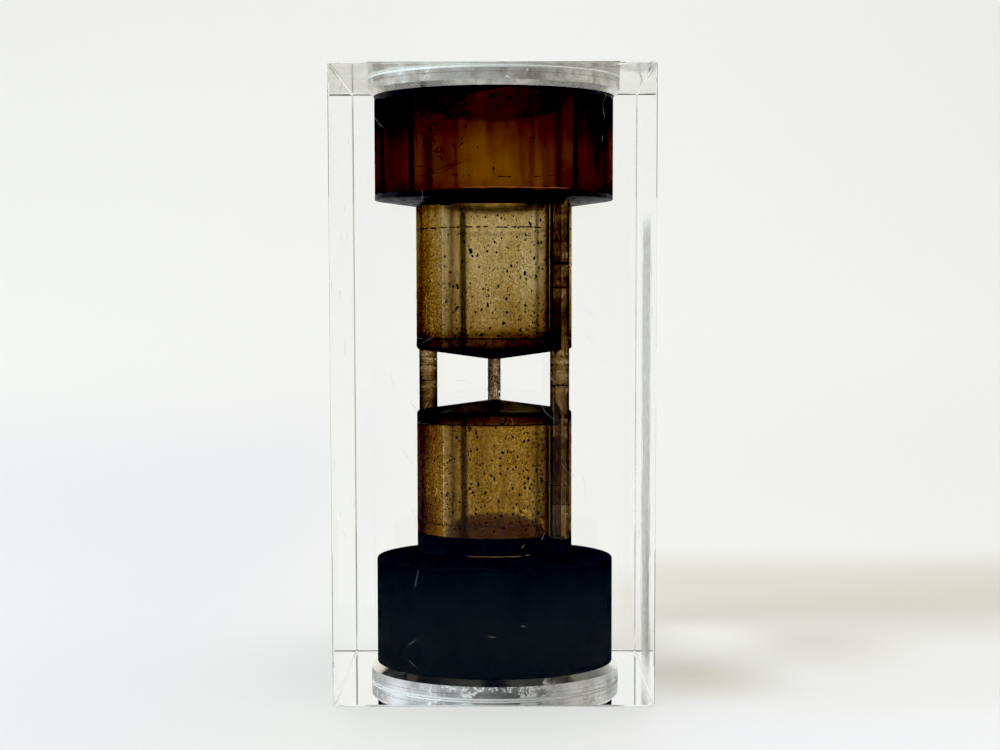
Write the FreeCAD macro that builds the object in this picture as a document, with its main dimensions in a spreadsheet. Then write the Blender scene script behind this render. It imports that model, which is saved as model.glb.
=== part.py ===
import FreeCAD, Part
import os
import Sketcher
from FreeCAD import Placement, Rotation, Vector

# A liquid hourglass: a square block of clear acrylic, bored from both ends and closed by two metal discs.
#
# Each end has a wide reservoir and, inside it, a narrower bore. Both floors slope to the middle at one angle, so
# that they drain. A fine neck joins the two bores, and two air channels join the floors of the two reservoirs.
# Dark liquid runs through the neck into the lower half while air rises through the channels. The two halves of
# the cavity mirror each other about its own mid-plane, which stands a little above the block's, so the lower
# disc is the thicker one. The frame has its origin at the middle of the base, with +Z up the axis of the bores,
# and the sides of the block face X and Y.

DIMENSIONS = {
    "block_width": 76.2,
    "block_height": 151.0,
    "block_edge_round": 0.5,
    "cavity_rise": 0.6,
    "seat_span": 140.9,
    "neck_diameter": 3.2,
    "neck_length": 10.4,
    "floor_slope": 8.0,
    "bore_diameter": 39.0,
    "bore_corner_round": 0.9,
    "reservoir_diameter": 59.5,
    "reservoir_depth": 25.6,
    "reservoir_corner_round": 0.6,
    "channel_diameter": 4.7,
    "channel_circle_diameter": 46.6,
    "channel_angle": 44.2,
    "channel_offset": -0.6,
    "channel_count": 2,
    "disc_recess": 0.15,
    "upper_disc_bevel": 1.2,
    "lower_disc_bevel": 2.3,
    "shoulder_width": 1.6,
    "cement_gap": 0.1,
    "liquid_rise": 5.0,
}

# Radii, and places measured from the cavity's mid-plane, worked out from the driving dimensions.
DERIVED = {
    "half_height": "=block_height / 2",
    "cavity_height": "=half_height + cavity_rise",
    "neck_radius": "=neck_diameter / 2",
    "bore_radius": "=bore_diameter / 2",
    "reservoir_radius": "=reservoir_diameter / 2",
    "counterbore_radius": "=reservoir_radius + shoulder_width",
    "disc_radius": "=counterbore_radius - cement_gap",
    "seat_height": "=seat_span / 2",
    "reservoir_rim": "=seat_height - reservoir_depth",
    "bore_mouth": "=reservoir_rim - (reservoir_radius - bore_radius) * tan(floor_slope * 1 deg)",
    "bore_rim": "=neck_length / 2 + (bore_radius - neck_radius) * tan(floor_slope * 1 deg)",
    "channel_along": "=channel_circle_diameter / 2 * cos(channel_angle * 1 deg)",
    "channel_across": "=channel_circle_diameter / -2 * sin(channel_angle * 1 deg)",
    "liquid_level": "=bore_mouth - liquid_rise",
    "upper_disc_thickness": "=half_height - cavity_rise - disc_recess - seat_height",
    "lower_disc_thickness": "=half_height + cavity_rise - disc_recess - seat_height",
}

CUT_MARGIN = 2.0
SAME = 1e-4

doc = FreeCAD.newDocument("LiquidHourglass")
sheet = doc.addObject("Spreadsheet::Sheet", "Dimensions")


def fill_sheet():
    """Writes every driving dimension, then every derived one, into its own cell with its alias."""
    for row, (name, value) in enumerate({**DIMENSIONS, **DERIVED}.items(), start=1):
        sheet.set(f"A{row}", name)
        sheet.set(f"B{row}", str(value))
        sheet.setAlias(f"B{row}", name)
    doc.recompute()


def size(name):
    """The value of one cell of the sheet, in millimetres or degrees."""
    return float(sheet.get(name))


def spelled_out(expression):
    """The expression with each [alias] turned into a reference to its cell."""
    for name in {**DIMENSIONS, **DERIVED}:
        expression = expression.replace(f"[{name}]", f"Dimensions.{name}")
    return expression


def evaluate(expression):
    """The number that an expression over the sheet's aliases gives now."""
    result = sheet.evalExpression(spelled_out(expression))
    return float(getattr(result, "Value", result))


def bind(thing, where, expression):
    """Ties one property or constraint to an expression over the sheet's aliases."""
    thing.setExpression(where, spelled_out(expression))


def new_body(label, height="[cavity_height]", flipped=False):
    """An empty body at a height on the axis. A flipped one is turned over about X."""
    body = doc.addObject("PartDesign::Body", "Body_" + label)
    body.Label = label
    body.Placement = Placement(Vector(0, 0, 0), Rotation(Vector(1, 0, 0), 180 if flipped else 0))
    bind(body, ".Placement.Base.z", height)
    return body


def plane_of(body, role):
    """One of the body's own origin planes."""
    return next(feature for feature in body.Origin.OriginFeatures if feature.Role == role)


def new_sketch(body, name, role="XY_Plane"):
    """An empty sketch on one of the body's origin planes."""
    sketch = body.newObject("Sketcher::SketchObject", name)
    sketch.AttachmentSupport = [(plane_of(body, role), "")]
    sketch.MapMode = "FlatFace"
    return sketch


def square_sketch(body, name, width):
    """A square centred on the origin, with its sides along X and Y."""
    sketch = new_sketch(body, name)
    half = size("block_width") / 2
    corners = [(-half, -half), (half, -half), (half, half), (-half, half)]
    for index, start in enumerate(corners):
        end = corners[(index + 1) % len(corners)]
        sketch.addGeometry(Part.LineSegment(Vector(*start, 0), Vector(*end, 0)))
    for index in range(4):
        sketch.addConstraint(Sketcher.Constraint("Coincident", index, 2, (index + 1) % 4, 1))
        level = "Horizontal" if index % 2 == 0 else "Vertical"
        sketch.addConstraint(Sketcher.Constraint(level, index))
    sketch.addConstraint(Sketcher.Constraint("Symmetric", 0, 1, 2, 1, -1, 1))
    across = sketch.addConstraint(Sketcher.Constraint("DistanceX", 0, 1, 0, 2, 2 * half))
    up = sketch.addConstraint(Sketcher.Constraint("DistanceY", 1, 1, 1, 2, 2 * half))
    bind(sketch, f"Constraints[{across}]", width)
    bind(sketch, f"Constraints[{up}]", width)
    return sketch


def circle_sketch(body, name, radius, along="0 mm", across="0 mm"):
    """A circle whose centre stands at (along, across) on the body's XY plane."""
    sketch = new_sketch(body, name)
    sketch.addGeometry(Part.Circle(Vector(1, 1, 0), Vector(0, 0, 1), 1.0))
    for kind, reach in (("DistanceX", along), ("DistanceY", across)):
        index = sketch.addConstraint(Sketcher.Constraint(kind, -1, 1, 0, 3, 1.0))
        bind(sketch, f"Constraints[{index}]", reach)
    index = sketch.addConstraint(Sketcher.Constraint("Radius", 0, 1.0))
    bind(sketch, f"Constraints[{index}]", radius)
    return sketch


def channel_sketch(body, name):
    """The circle of the first air channel. The sketch's own origin is the centre of the channels' circle."""
    sketch = circle_sketch(body, name, "[channel_diameter] / 2", "[channel_along]", "[channel_across]")
    bind(sketch, ".AttachmentOffset.Base.x", "[channel_offset]")
    return sketch


def repeat_channel(body, name, feature):
    """Repeats a feature made on the first channel's circle for every channel, and makes that the body's tip."""
    pattern = body.newObject("PartDesign::PolarPattern", name)
    pattern.Originals = [feature]
    pattern.Axis = (feature.Profile[0], ["N_Axis"])
    pattern.Angle = 360.0
    bind(pattern, "Occurrences", "[channel_count]")
    body.Tip = pattern
    doc.recompute()


def profile_sketch(body, name, points):
    """A closed half-section on the XZ plane. Each point is a pair of expressions: radius and height."""
    sketch = new_sketch(body, name, "XZ_Plane")
    count = len(points)
    places = [Vector(evaluate(radius), evaluate(height), 0) for radius, height in points]
    for index, start in enumerate(places):
        sketch.addGeometry(Part.LineSegment(start, places[(index + 1) % count]))
    for index in range(count):
        sketch.addConstraint(Sketcher.Constraint("Coincident", index, 2, (index + 1) % count, 1))
    for index, (radius, height) in enumerate(points):
        for kind, reach in (("DistanceX", radius), ("DistanceY", height)):
            if abs(evaluate(reach)) < SAME:
                on_axis = -2 if kind == "DistanceX" else -1
                sketch.addConstraint(Sketcher.Constraint("PointOnObject", index, 1, on_axis))
            else:
                ends = (-1, 1, index, 1, evaluate(reach))
                row = sketch.addConstraint(Sketcher.Constraint(kind, *ends))
                bind(sketch, f"Constraints[{row}]", reach)
    return sketch


def revolve(body, name, kind, profile):
    """A full turn of a half-section about the axis of the bores."""
    feature = body.newObject(kind, name)
    feature.Profile = profile
    feature.ReferenceAxis = (profile, ["V_Axis"])
    feature.Angle = 360.0
    return feature


def rim_edges(shape, radius, height):
    """The names of the circular edges of one radius at one height of the body's frame."""
    names = []
    for number, edge in enumerate(shape.Edges, start=1):
        if edge.Degenerated:
            continue
        curve = edge.Curve
        if isinstance(curve, Part.Circle) and abs(curve.Radius - radius) < SAME:
            if abs(curve.Center.z - height) < SAME and abs(curve.Center.x) < SAME:
                names.append(f"Edge{number}")
    return names


def round_edges(body, name, edges, radius):
    """Rounds the named edges of the body's latest feature."""
    base = body.Tip
    fillet = body.newObject("PartDesign::Fillet", name)
    fillet.Base = (base, edges)
    bind(fillet, "Radius", radius)
    doc.recompute()
    return fillet


def acrylic_block():
    """The polished block, with the bores, the neck and the air channels cut from both ends."""
    body = new_body("acrylic_block")
    pad = body.newObject("PartDesign::Pad", "Billet")
    pad.Profile = square_sketch(body, "BilletSquare", "[block_width]")
    bind(pad.Profile[0], ".AttachmentOffset.Base.z", "-1 * [cavity_rise]")
    pad.Midplane = True
    bind(pad, "Length", "[block_height]")
    doc.recompute()
    edges = [f"Edge{number}" for number in range(1, len(pad.Shape.Edges) + 1)]
    round_edges(body, "PolishedEdges", edges, "[block_edge_round]")

    section = profile_sketch(body, "HalfCavity", [
        ("0", "0"),
        ("[neck_radius]", "0"),
        ("[neck_radius]", "[neck_length] / 2"),
        ("[bore_radius]", "[bore_rim]"),
        ("[bore_radius]", "[bore_mouth]"),
        ("[reservoir_radius]", "[reservoir_rim]"),
        ("[reservoir_radius]", "[seat_height]"),
        ("[counterbore_radius]", "[seat_height]"),
        ("[counterbore_radius]", f"[half_height] + {CUT_MARGIN}"),
        ("0", f"[half_height] + {CUT_MARGIN}"),
    ])
    groove = revolve(body, "UpperCavity", "PartDesign::Groove", section)
    doc.recompute()
    mirror = body.newObject("PartDesign::Mirrored", "LowerCavity")
    mirror.Originals = [groove]
    mirror.MirrorPlane = (plane_of(body, "XY_Plane"), [""])
    body.Tip = mirror
    doc.recompute()

    channel = body.newObject("PartDesign::Pocket", "AirChannel")
    channel.Profile = channel_sketch(body, "ChannelCircle")
    channel.Midplane = True
    bind(channel, "Length", "[reservoir_rim] * 2")
    doc.recompute()
    repeat_channel(body, "AirChannels", channel)

    corners = [("bore_radius", "bore_rim", "BoreCorners", "[bore_corner_round]"),
               ("reservoir_radius", "reservoir_rim", "ReservoirCorners", "[reservoir_corner_round]")]
    for radius, height, name, rounding in corners:
        shape = body.Tip.Shape
        edges = rim_edges(shape, size(radius), size(height)) + rim_edges(shape, size(radius), -size(height))
        round_edges(body, name, edges, rounding)
    return body


def end_disc(end, flipped):
    """A metal closing disc, bevelled round its inner face, that seats on the shoulder of one end."""
    label = f"{end}_end_disc"
    height = "[block_height] - [disc_recess]" if flipped else "[disc_recess]"
    body = new_body(label, height, flipped)
    pad = body.newObject("PartDesign::Pad", "Blank_" + label)
    pad.Profile = circle_sketch(body, "DiscCircle_" + label, "[disc_radius]")
    bind(pad, "Length", f"[{end}_disc_thickness]")
    doc.recompute()
    bevel = body.newObject("PartDesign::Chamfer", "Bevel_" + label)
    bevel.Base = (pad, rim_edges(pad.Shape, size("disc_radius"), size(f"{end}_disc_thickness")))
    bind(bevel, "Size", f"[{end}_disc_bevel]")
    doc.recompute()
    return body


def cement_ring(end, flipped):
    """The clear cement that fills the bevel and the fine gap between a disc's rim and its counterbore."""
    label = f"{end}_cement_ring"
    body = new_body(label, "[block_height]" if flipped else "0", flipped)
    inner_face = f"[disc_recess] + [{end}_disc_thickness]"
    section = profile_sketch(body, "CementSection_" + label, [
        (f"[disc_radius] - [{end}_disc_bevel]", inner_face),
        ("[disc_radius]", f"{inner_face} - [{end}_disc_bevel]"),
        ("[disc_radius]", "[disc_recess]"),
        ("[counterbore_radius]", "[disc_recess]"),
        ("[counterbore_radius]", inner_face),
    ])
    revolve(body, "Cement_" + label, "PartDesign::Revolution", section)
    doc.recompute()
    return body


def dark_liquid():
    """The liquid at rest: it fills the lower reservoir and stands a little way up the bore and channels."""
    body = new_body("dark_liquid")
    section = profile_sketch(body, "LiquidSection", [
        ("0", "-1 * [seat_height]"),
        ("[reservoir_radius]", "-1 * [seat_height]"),
        ("[reservoir_radius]", "-1 * [reservoir_rim]"),
        ("[bore_radius]", "-1 * [bore_mouth]"),
        ("[bore_radius]", "-1 * [liquid_level]"),
        ("0", "-1 * [liquid_level]"),
    ])
    revolve(body, "Pool", "PartDesign::Revolution", section)
    doc.recompute()
    edges = rim_edges(body.Tip.Shape, size("reservoir_radius"), -size("reservoir_rim"))
    round_edges(body, "PoolCorner", edges, "[reservoir_corner_round]")

    column = body.newObject("PartDesign::Pad", "ChannelColumn")
    column.Profile = channel_sketch(body, "ColumnCircle")
    bind(column.Profile[0], ".AttachmentOffset.Base.z", "-1 * [liquid_level]")
    column.Reversed = True
    bind(column, "Length", "[reservoir_rim] - [liquid_level]")
    doc.recompute()
    repeat_channel(body, "ChannelColumns", column)
    return body


def check_document():
    """Stops if any object of the document failed to compute."""
    for thing in doc.Objects:
        if "Invalid" in thing.State or "Error" in thing.State:
            raise RuntimeError(f"{thing.Name} failed: {thing.State}")


def write_parts(bodies):
    """Writes each body's shape to parts/LABEL.step, after checking that it is one valid closed solid."""
    os.makedirs("parts", exist_ok=True)
    for body in bodies:
        shape = body.Shape
        if shape.isNull() or not shape.isValid() or len(shape.Solids) != 1:
            raise RuntimeError(f"{body.Label} is not one valid solid")
        shape.exportStep(f"parts/{body.Label}.step")
        box = shape.BoundBox
        print(f"{body.Label}: {shape.Volume / 1000:.2f} cm3, z {box.ZMin:.2f} to {box.ZMax:.2f}")


fill_sheet()
pieces = [
    acrylic_block(),
    end_disc("upper", flipped=True),
    end_disc("lower", flipped=False),
    cement_ring("upper", flipped=True),
    cement_ring("lower", flipped=False),
    dark_liquid(),
]
doc.recompute()
check_document()
write_parts(pieces)
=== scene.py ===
"""Liquid hourglass timer: a sealed clear block with two stained chambers.

Every length is in metres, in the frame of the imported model: the block stands
on z = 0, its axis is the z axis, and its front faces -y.
"""

import math
import random

import bmesh
import bpy
from mathutils import Matrix, Vector, noise


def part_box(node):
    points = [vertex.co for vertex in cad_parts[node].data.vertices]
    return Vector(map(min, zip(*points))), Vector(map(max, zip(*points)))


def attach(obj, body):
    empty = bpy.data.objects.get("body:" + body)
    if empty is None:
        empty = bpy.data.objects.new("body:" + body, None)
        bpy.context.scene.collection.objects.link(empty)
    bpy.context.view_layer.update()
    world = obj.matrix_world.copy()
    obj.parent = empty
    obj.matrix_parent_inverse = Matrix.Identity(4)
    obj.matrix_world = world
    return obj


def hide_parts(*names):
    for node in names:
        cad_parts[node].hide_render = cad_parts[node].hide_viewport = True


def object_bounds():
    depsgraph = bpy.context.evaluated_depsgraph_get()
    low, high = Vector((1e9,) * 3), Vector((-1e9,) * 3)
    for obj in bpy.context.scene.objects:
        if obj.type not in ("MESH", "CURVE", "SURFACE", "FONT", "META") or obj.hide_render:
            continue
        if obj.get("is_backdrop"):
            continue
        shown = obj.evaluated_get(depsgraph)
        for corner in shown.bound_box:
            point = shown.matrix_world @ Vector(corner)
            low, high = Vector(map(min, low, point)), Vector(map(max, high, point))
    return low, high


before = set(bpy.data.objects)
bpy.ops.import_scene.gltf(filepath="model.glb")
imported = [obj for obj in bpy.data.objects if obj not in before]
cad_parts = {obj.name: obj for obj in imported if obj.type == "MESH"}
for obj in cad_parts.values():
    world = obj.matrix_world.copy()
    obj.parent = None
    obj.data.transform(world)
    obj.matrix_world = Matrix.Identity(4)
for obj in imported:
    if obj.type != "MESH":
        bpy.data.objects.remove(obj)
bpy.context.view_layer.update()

MM = 0.001
TURN = 2 * math.pi
AROUND = (-math.pi, math.pi)

# ---------------------------------------------------------------- sizes

_, block_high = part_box("acrylic_block")
upper_low, upper_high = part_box("upper_end_disc")
lower_low, lower_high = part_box("lower_end_disc")
_, liquid_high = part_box("dark_liquid")

HALF = block_high.x
HEIGHT = block_high.z
UPPER_SEAT = upper_low.z
LOWER_SEAT = lower_high.z
MIDDLE = (UPPER_SEAT + LOWER_SEAT) / 2
DISC = round(upper_high.x, 5)
LIQUID_LEVEL = liquid_high.z

# the driving sizes of the CAD part that no node's box gives
BLOCK_EDGE = 0.5 * MM
RESERVOIR = 29.75 * MM
RESERVOIR_RIM = 44.85 * MM
RESERVOIR_ROUND = 0.6 * MM
BORE = 19.5 * MM
BORE_MOUTH = 43.41 * MM
BORE_RIM = 7.72 * MM
BORE_ROUND = 0.9 * MM
NECK = 1.6 * MM
NECK_HALF = 5.2 * MM
CHANNEL = 2.35 * MM
CHANNELS = (Vector((16.10, -16.24)) * MM, Vector((-17.30, 16.24)) * MM)
UPPER_BEVEL = 1.2 * MM
LOWER_BEVEL = 2.3 * MM
COUNTERBORE = 31.35 * MM

BOND = 0.02 * MM  # how far a bonded or wetting piece reaches into the acrylic
IOR = 1.49
CRITICAL_COSINE = math.sqrt(1 - 1 / IOR**2)  # beyond it the wall turns light back
SEGMENTS = 288  # round the bores and discs


# ---------------------------------------------------------------- mesh tools


def new_piece(name, bm, smooth_angle=30):
    mesh = bpy.data.meshes.new(name)
    bm.to_mesh(mesh)
    bm.free()
    mesh.shade_smooth()
    mesh.set_sharp_from_angle(angle=math.radians(smooth_angle))
    piece = bpy.data.objects.new(name, mesh)
    bpy.context.scene.collection.objects.link(piece)
    return piece


def rounded(corners):
    """Points of a polyline whose corners (r, z, radius) are rounded by arcs."""
    points = []
    for i, (r, z, radius) in enumerate(corners):
        here = Vector((r, z))
        if not radius or i in (0, len(corners) - 1):
            points.append(here)
            continue
        before = (Vector(corners[i - 1][:2]) - here).normalized()
        after = (Vector(corners[i + 1][:2]) - here).normalized()
        half = before.angle(after) / 2
        reach = radius / math.tan(half)
        centre = here + (before + after).normalized() * radius / math.sin(half)
        start, end = here + before * reach, here + after * reach
        steps = 7
        for k in range(steps + 1):
            spot = start.lerp(end, k / steps) - centre
            points.append(centre + spot.normalized() * radius)
    return points


def supported(points, reach=0.12 * MM):
    """The same line with extra points close to its corners, which keep shading true."""
    made = []
    for a, b in zip(points, points[1:]):
        made.append(a)
        length = (b - a).length
        if length > 4 * reach:
            made.append(a.lerp(b, reach / length))
            made.append(b.lerp(a, reach / length))
    return [*made, points[-1]]


def ring_of(bm, r, z):
    """A ring of corners round the z axis."""
    turns = [TURN * k / SEGMENTS for k in range(SEGMENTS)]
    return [bm.verts.new((r * math.cos(a), r * math.sin(a), z)) for a in turns]


def join_rings(bm, rings):
    """Faces between each ring and the next."""
    for a, b in zip(rings, rings[1:]):
        for k in range(len(a)):
            n = (k + 1) % len(a)
            bm.faces.new((a[k], a[n], b[n], b[k]))


def turned(points):
    """Closed solid of revolution about z of a line whose two ends alone are on the axis."""
    bm = bmesh.new()
    rings = [ring_of(bm, r, z) for r, z in points[1:-1]]
    join_rings(bm, rings)
    for (_, z), ring in ((points[0], rings[0]), (points[-1], rings[-1])):
        tip = bm.verts.new((0, 0, z))
        for k in range(SEGMENTS):
            bm.faces.new((tip, ring[k], ring[(k + 1) % SEGMENTS]))
    bmesh.ops.recalc_face_normals(bm, faces=bm.faces)
    return bm


def tube(axis, radius, low, high, segments=64):
    bm = bmesh.new()
    bmesh.ops.create_cone(
        bm, cap_ends=True, segments=segments, radius1=radius, radius2=radius, depth=high - low
    )
    bmesh.ops.translate(bm, verts=bm.verts, vec=(axis.x, axis.y, (low + high) / 2))
    return bm


def combine(piece, others, operation):
    """Booleans the other pieces into the first one and removes them."""
    for other in others:
        cut = piece.modifiers.new("cut", "BOOLEAN")
        cut.operation, cut.solver, cut.object = operation, "EXACT", other
    graph = bpy.context.evaluated_depsgraph_get()
    mesh = bpy.data.meshes.new_from_object(piece.evaluated_get(graph))
    piece.modifiers.clear()
    piece.data = mesh
    for other in others:
        bpy.data.objects.remove(other)
    mesh.shade_smooth()
    mesh.set_sharp_from_angle(angle=math.radians(30))


def wall(radius, axis=Vector((0, 0))):
    """Places on an upright round wall, by angle from the front and height."""

    def at(angle, z):
        out = Vector((math.sin(angle), -math.cos(angle), 0))
        return Vector((axis.x, axis.y, z)) + out * radius, -out

    return at


def crust(bm, at, angles, heights, cell, keep, depth):
    """Adds a thin closed crust over the cells of a surface that keep() picks."""
    radius = (at(0, 0)[0] - at(math.pi, 0)[0]).length / 2
    columns = max(3, round(abs(angles[1] - angles[0]) * radius / cell))
    rows = max(1, round((heights[1] - heights[0]) / cell))
    loop = abs(angles[1] - angles[0]) > TURN - 1e-6

    def spot(i, j):
        return at(
            angles[0] + (angles[1] - angles[0]) * i / columns,
            heights[0] + (heights[1] - heights[0]) * j / rows,
        )

    kept = set()
    for i in range(columns):
        for j in range(rows):
            place, _ = spot(i + 0.5, j + 0.5)
            if keep(place):
                kept.add((i, j))
    outer, inner = {}, {}

    def corner(i, j):
        key = (i % columns if loop else i, j)
        if key not in outer:
            place, inward = spot(*key)
            thick = depth * (0.6 + 0.8 * abs(noise.noise(place * 900)))
            outer[key] = bm.verts.new(place - inward * BOND)
            inner[key] = bm.verts.new(place + inward * thick)
        return outer[key], inner[key]

    for i, j in sorted(kept):
        ring = [corner(i, j), corner(i + 1, j), corner(i + 1, j + 1), corner(i, j + 1)]
        bm.faces.new([v[0] for v in ring])
        bm.faces.new([v[1] for v in reversed(ring)])
        sides = ((i, j - 1), (i + 1, j), (i, j + 1), (i - 1, j))
        for side, (a, b) in zip(sides, zip(ring, ring[1:] + ring[:1])):
            key = (side[0] % columns if loop else side[0], side[1])
            if key not in kept:
                bm.faces.new((a[0], a[1], b[1], b[0]))


def droplet_form():
    """Corners and faces of one small round body, copied for every droplet."""
    bm = bmesh.new()
    bmesh.ops.create_icosphere(bm, subdivisions=1, radius=1)
    bm.verts.ensure_lookup_table()
    form = [v.co.copy() for v in bm.verts], [[v.index for v in f.verts] for f in bm.faces]
    bm.free()
    return form


def blob(swarm, place, inward, width, height, depth):
    """Adds a flattened droplet stuck to a wall to the lists of corners and faces."""
    corners, faces = swarm
    first = len(corners)
    across = Vector((0, 0, 1)).cross(inward).normalized() * width
    middle = place + inward * (depth - BOND * 4)
    for c in DROPLET[0]:
        corners.append(middle + across * c.x + inward * (depth * c.y) + Vector((0, 0, height * c.z)))
    faces.extend([first + k for k in face] for face in DROPLET[1])


DROPLET = droplet_form()


# ---------------------------------------------------------------- materials


class Net:
    """Short calls for building one material's nodes."""

    def __init__(self, name):
        self.material = bpy.data.materials.new(name)
        self.material.use_nodes = True
        self.tree = self.material.node_tree
        self.tree.nodes.clear()
        self.out = self.node("ShaderNodeOutputMaterial")
        self.place = self.node("ShaderNodeTexCoord").outputs["Object"]
        split = self.node("ShaderNodeSeparateXYZ", {"Vector": self.place})
        self.x, self.y, self.z = split.outputs

    def node(self, kind, inputs=None, **settings):
        made = self.tree.nodes.new(kind)
        for key, value in settings.items():
            setattr(made, key, value)
        for key, value in (inputs or {}).items():
            self.feed(made.inputs[key], value)
        return made

    def feed(self, socket, value):
        if isinstance(value, bpy.types.NodeSocket):
            self.tree.links.new(value, socket)
        else:
            socket.default_value = value

    def math(self, operation, *values):
        made = self.node("ShaderNodeMath", operation=operation)
        for socket, value in zip(made.inputs, values):
            self.feed(socket, value)
        return made.outputs[0]

    def noise(self, scale, detail=3, rough=0.55, stretch=(1, 1, 1)):
        spread = self.node(
            "ShaderNodeVectorMath", {0: self.place, 1: stretch}, operation="MULTIPLY"
        ).outputs[0]
        return self.node(
            "ShaderNodeTexNoise",
            {"Vector": spread, "Scale": scale, "Detail": detail, "Roughness": rough},
        ).outputs["Fac"]

    def ramp(self, value, low, high, out_low, out_high):
        """Smooth step from one output to the other while the value goes from low to high."""
        made = self.node("ShaderNodeMapRange", interpolation_type="SMOOTHSTEP")
        for key, number in zip(
            ("Value", "From Min", "From Max", "To Min", "To Max"),
            (value, low, high, out_low, out_high),
        ):
            self.feed(made.inputs[key], number)
        return made.outputs[0]

    def bell(self, value, centre, width):
        """1 at the centre, falling to 0 a width away on each side."""
        away = self.math("ABSOLUTE", self.math("SUBTRACT", value, centre))
        return self.ramp(away, 0, width, 1, 0)

    def add(self, *values):
        total = values[0]
        for value in values[1:]:
            total = self.math("ADD", total, value)
        return total

    def times(self, *values):
        total = values[0]
        for value in values[1:]:
            total = self.math("MULTIPLY", total, value)
        return total

    def mix(self, factor, a, b):
        made = self.node("ShaderNodeMix", data_type="RGBA")
        self.feed(made.inputs["Factor"], factor)
        self.feed(made.inputs[6], a)
        self.feed(made.inputs[7], b)
        return made.outputs[2]

    def bump(self, height, strength, distance):
        return self.node(
            "ShaderNodeBump", {"Height": height, "Strength": strength, "Distance": distance}
        ).outputs[0]

    def blend(self, a, b, share=None):
        """Mix of two shaders by the second one's share, or their sum when it has none."""
        made = self.node("ShaderNodeAddShader" if share is None else "ShaderNodeMixShader")
        if share is not None:
            self.feed(made.inputs["Fac"], share)
        for shader, socket in zip((a, b), made.inputs[-2:]):
            self.tree.links.new(shader.outputs[0], socket)
        return self.finish(made)

    def finish(self, shader):
        self.tree.links.new(shader.outputs[0], self.out.inputs["Surface"])
        return self.material


def film(name, tint, thickness, roughness=0.0):
    """Acrylic wall with a dried, light-absorbing film on its air side.

    What crosses the film is tinted by tint ** (path * thickness), where path is
    1 straight through. Light that the wall turns back crosses the film twice.
    """
    net = Net(name)
    cosine = net.math(
        "SUBTRACT", 1.0, net.node("ShaderNodeLayerWeight", {"Blend": 0.5}).outputs["Facing"]
    )
    inside = net.node("ShaderNodeNewGeometry").outputs["Backfacing"]
    turned_back = net.math("LESS_THAN", cosine, CRITICAL_COSINE)
    from_solid = net.math(
        "DIVIDE", net.add(turned_back, 1.0), net.math("MAXIMUM", cosine, 0.42)
    )
    sine2 = net.math("SUBTRACT", 1.0, net.times(cosine, cosine))
    from_air = net.math(
        "INVERSE_SQRT", net.math("SUBTRACT", 1.0, net.math("DIVIDE", sine2, IOR * IOR))
    )
    path = net.add(
        net.times(inside, from_solid), net.times(net.math("SUBTRACT", 1.0, inside), from_air)
    )
    amount = net.times(path, thickness(net))
    colour = net.node("ShaderNodeGamma", {"Color": (*tint, 1), "Gamma": amount}).outputs[0]
    glass = net.node("ShaderNodeBsdfGlass", {"Color": colour, "IOR": IOR})
    glass.inputs["Roughness"].default_value = roughness
    return net.finish(glass)


def mottled(net, base, fine=0.35, coarse=0.3):
    """Film thickness with the blotches and vertical runs of a dried coating."""
    coarse_part = net.ramp(net.noise(90, 4), 0.3, 0.7, -coarse, coarse)
    fine_part = net.ramp(net.noise(2500, 2, 0.6), 0.3, 0.7, -fine, fine)
    runs = net.ramp(net.noise(420, 2, 0.6, (1, 1, 0.06)), 0.3, 0.7, -0.12, 0.12)
    return net.times(base, net.add(1.0, coarse_part, fine_part, runs))


def upper_bore_film(net):
    z = net.z
    base = net.add(
        net.ramp(z, 105 * MM, 90 * MM, 1.0, 1.4),
        net.ramp(z, 90 * MM, 86.5 * MM, 0.0, 0.9),
        net.ramp(z, 86.8 * MM, 86.4 * MM, 0.0, 0.8),
        net.ramp(z, 116.5 * MM, 119.5 * MM, 0.0, 0.7),
        # painted light: the film thinner on the right beyond 12 mm, where the wall begins to turn light
        # back
        net.ramp(net.x, 12 * MM, 14 * MM, 0.0, -0.45),
    )
    line = net.times(net.bell(z, 86.7 * MM, 0.22 * MM), 5.0)
    wave = net.times(net.bell(z, 113.7 * MM, 0.5 * MM), net.ramp(net.noise(300), 0.4, 0.65, 0, 0.5))
    return net.add(mottled(net, base, 0.42, 0.12), line, wave)


def lower_bore_film(net):
    z = net.z
    base = net.add(
        1.0,
        net.ramp(z, 64.8 * MM, 67.0 * MM, 0.0, 3.0),
        # painted light: the film thinner on the right beyond 12 mm, where the wall begins to turn light
        # back
        net.ramp(net.x, 12 * MM, 14 * MM, 0.0, -0.35),
    )
    line = net.times(net.bell(z, 65.6 * MM, 0.22 * MM), 5.0)
    step = net.times(net.bell(z, 40.8 * MM, 0.22 * MM), 2.0)
    return net.add(mottled(net, base, 0.48, 0.14), line, step)


def cone_film(net):
    return mottled(net, net.ramp(net.z, MIDDLE - MM, MIDDLE + MM, 1.9, 3.0), 0.3, 0.35)


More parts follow.
